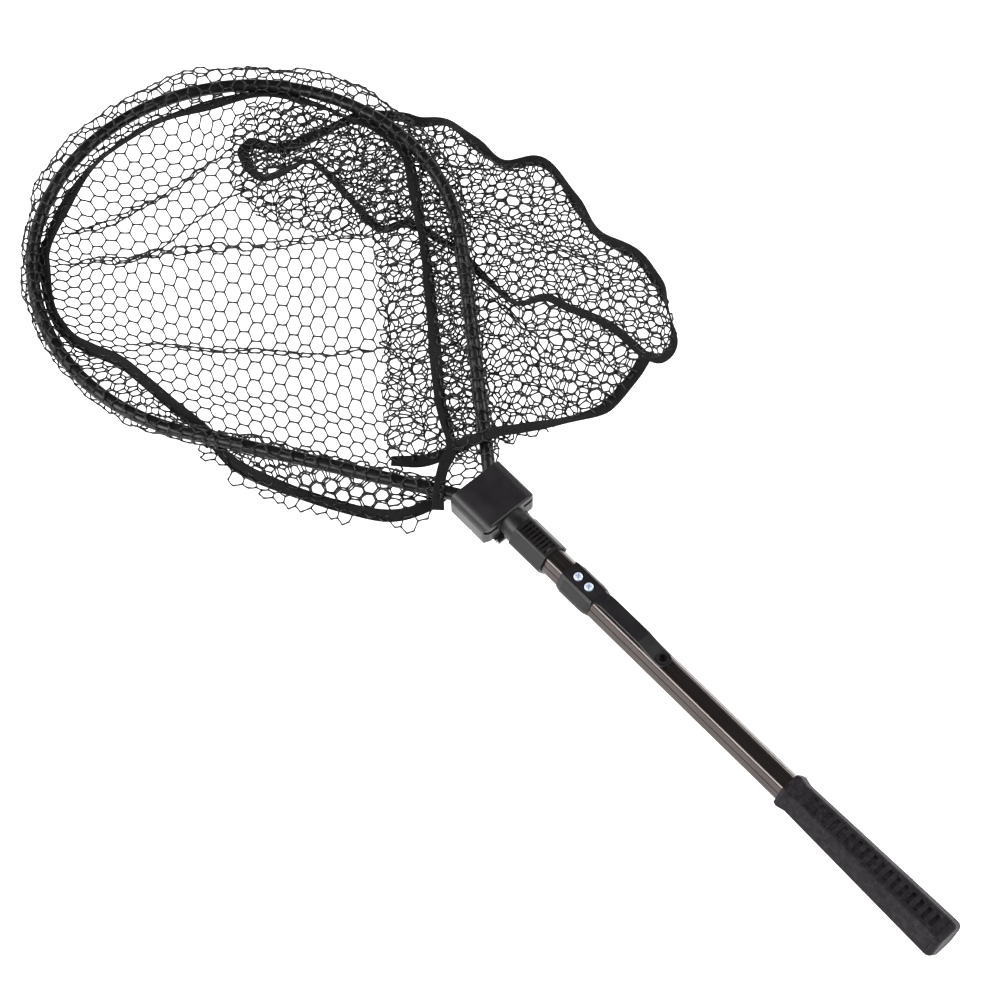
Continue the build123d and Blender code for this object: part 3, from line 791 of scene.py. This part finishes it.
def make_net():
    hem = smooth(on_hoop(HEM))
    outer = smooth(on_hoop(SEAM_OUTER))
    inner = smooth(on_hoop(SEAM_INNER))
    side = smooth(on_hoop(SIDE_SEAM))
    fold = smooth(on_hoop(FOLD))
    sag = smooth(on_hoop(SAG))
    bunch = smooth(on_hoop(BUNCH), closed=True)
    table = FLOOR_Z + 1.0 * MM
    turn = math.radians(50)

    left_hem = run_to(hem, (112, -134))
    right_hem = hem[len(left_hem):]
    outer_far = run_to(outer, (56, -173))
    main = layer(np.vstack([left_hem, outer_far[::-1], side[::-1]]), turn, CELL, 3,
                 (0.13, 0.08), 0.9 * MM, 0.9, table + 1.2 * MM, [hem, outer], 24 * MM,
                 PLEATS, 3 * MM, fan=True)
    right_run = run_to(right_hem, (-231, -22))
    beside = layer(np.vstack([outer, right_run, side]), turn - 0.9, CELL * 0.95, 22,
                   (0.05, 0.036, 0.07), 1.5 * MM, 1.1, table + 3 * MM, [outer], 10 * MM, CREASES, 3.5 * MM)
    corner = smooth(on_hoop(YOKE_CORNER), closed=True)
    by_yoke = layer(corner, turn, CELL * 0.9, 41, (0.03, 0.05), 1.6 * MM, 0.9, 1.5 * MM, [], 1 * MM)
    near = layer(np.vstack([fold, inner, side[::-1]]), turn + 0.35, CELL * 0.92, 5,
                 (0.034, 0.05, 0.027), 1.9 * MM, 1.25, table + 5 * MM, [inner, outer], 12 * MM, (), 3 * MM)
    back = layer(np.vstack([fold[::-1], right_run[::-1]]), turn - 0.3, CELL * 0.9, 8,
                 (0.034, 0.047, 0.026), 1.9 * MM, 1.25, table + 6 * MM, [right_hem], 20 * MM, (), 3 * MM)
    bunched = [
        layer(bunch, turn + 0.7 * k, CELL * 0.95, 30 + k, (0.022, 0.031), 2.3 * MM, 1.15,
              table + (3.5 + 2.6 * k) * MM, [], 1 * MM, drape=1.1 + 0.25 * k)
        for k in range(2)
    ]
    hanging = layer(np.vstack([sag, hem[: len(run_to(hem, (-98, 123)))][::-1]]), turn + 0.2, CELL * 0.95, 19,
                    (0.03, 0.045), 2.0 * MM, 1.1, table + 4 * MM, [hem], 10 * MM, (), 2 * MM)
    base_outline = np.vstack([outer, inner])
    base_low = layer(base_outline, turn + 0.8, CELL * 0.92, 12, (0.036, 0.05, 0.07), 1.7 * MM, 1.15,
                     table + 4 * MM, [inner, outer], 10 * MM, (), 3 * MM)
    wall_layers = [main, beside, by_yoke, near, back, trimmed(*hanging), *bunched]
    wall = strand_mesh("net_wall_mesh", *joined_nets(wall_layers))
    base = strand_mesh("net_base_mesh", *base_low)
    sleeve = strand_mesh("net_sleeve_mesh", *sleeve_net(hem))
    return wall, base, sleeve, hem, outer, inner, side


def tape(name, line, width=TAPE_WIDTH, tilt=0.0, twist=1.0, seed=1):
    """A woven tape along a line: a thin ribbon with soft edges, turning a little about its line."""
    draw = np.random.default_rng(seed)
    tangent = np.gradient(line, axis=0)
    tangent /= np.linalg.norm(tangent, axis=1, keepdims=True)
    flat_across = np.cross(tangent, (0, 0, 1.0))
    flat_across /= np.linalg.norm(flat_across, axis=1, keepdims=True)
    normal = np.cross(flat_across, tangent)
    run = np.concatenate([[0], np.cumsum(np.linalg.norm(np.diff(line, axis=0), axis=1))])
    slow = 0.3 * np.sin(run / 0.031 + draw.uniform(0, 6))
    fast = 0.14 * np.sin(run / 0.0127 + draw.uniform(0, 6))
    turn = tilt * np.minimum(twist, 1) + twist * (slow + fast)
    across = flat_across * np.cos(turn)[:, None] + normal * np.sin(turn)[:, None]
    face = normal * np.cos(turn)[:, None] - flat_across * np.sin(turn)[:, None]
    half = width / 2
    section = [
        (-1.0, 0.0), (-0.94, 0.5), (-0.8, 0.42), (-0.4, 0.5), (0.0, 0.46), (0.4, 0.5), (0.8, 0.42),
        (0.94, 0.5), (1.0, 0.0), (0.94, -0.5), (0.8, -0.42), (0.4, -0.5), (0.0, -0.46), (-0.4, -0.5),
        (-0.8, -0.42), (-0.94, -0.5),
    ]
    count = len(section)
    points = []
    for i in range(len(line)):
        swell = 1 + 0.05 * math.sin(run[i] / 0.009 + seed)
        for x, z in section:
            points.append(line[i] + across[i] * x * half * swell + face[i] * z * TAPE_T)
    points = np.array(points)
    points[:, 2] = np.maximum(points[:, 2], FLOOR_Z + 0.1 * MM)
    faces = []
    uvs = []
    for i in range(len(line) - 1):
        for k in range(count):
            a = i * count + k
            b = i * count + (k + 1) % count
            faces.append((a, b, b + count, a + count))
            v0 = section[k][0] * half
            v1 = section[(k + 1) % count][0] * half
            uvs += [(run[i], v0), (run[i], v1), (run[i + 1], v1), (run[i + 1], v0)]
    first = tuple(range(count))[::-1]
    last = tuple((len(line) - 1) * count + k for k in range(count))
    uvs += [(run[0], 0)] * count + [(run[-1], 0)] * count
    data = bpy.data.meshes.new(name)
    data.from_pydata(points.tolist(), [], faces + [first, last])
    layer_uv = data.uv_layers.new(name="UVMap")
    layer_uv.data.foreach_set("uv", np.array(uvs).ravel())
    data.polygons.foreach_set("use_smooth", np.ones(len(data.polygons), bool))
    data.update()
    made = bpy.data.objects.new(name, data)
    bpy.context.scene.collection.objects.link(made)
    data.materials.append(tape_material)
    return made


def squeezing_spring():
    """The collar's spring again, as a copy with its own mesh that rides on the handle; the original spring is
    hidden.
    """
    coil = bpy.data.objects.new("collar_spring_coil", nodes["collar_spring"].data.copy())
    bpy.context.scene.collection.objects.link(coil)
    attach(coil, "handle")
    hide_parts("collar_spring")
    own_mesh(coil)


make_camera()
make_stage()
strand_material = coated_strand()
tape_material = woven_tape()
finish_cad_nodes()
squeezing_spring()

wall, base, sleeve, hem_line, outer_line, inner_line, side_line = make_net()
hem_tape = tape("hem_tape_woven", hem_line, tilt=0.35, seed=2)
seam_line = np.vstack([outer_line, inner_line[1:]])
# The outer run turns edge-on here and there, the inner run lies flatter.
share = np.arange(len(seam_line)) / len(outer_line)
seam_twist = 0.7 + 1.8 * ease((0.95 - share) / 0.2)
seam_tape = tape("base_seam_tape_woven", seam_line, width=9.5 * MM, tilt=0.6, twist=seam_twist, seed=4)
side_tape = tape("side_seam_tape_woven", side_line, tilt=0.05, seed=6)

for piece in (wall, base, sleeve, hem_tape, seam_tape, side_tape):
    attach(piece, "head")
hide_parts("net_wall")
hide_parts("net_base")
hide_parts("net_sleeve")
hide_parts("hem_tape", "seam_tape_end")
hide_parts("base_seam_tape")
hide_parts("side_seam_tape")
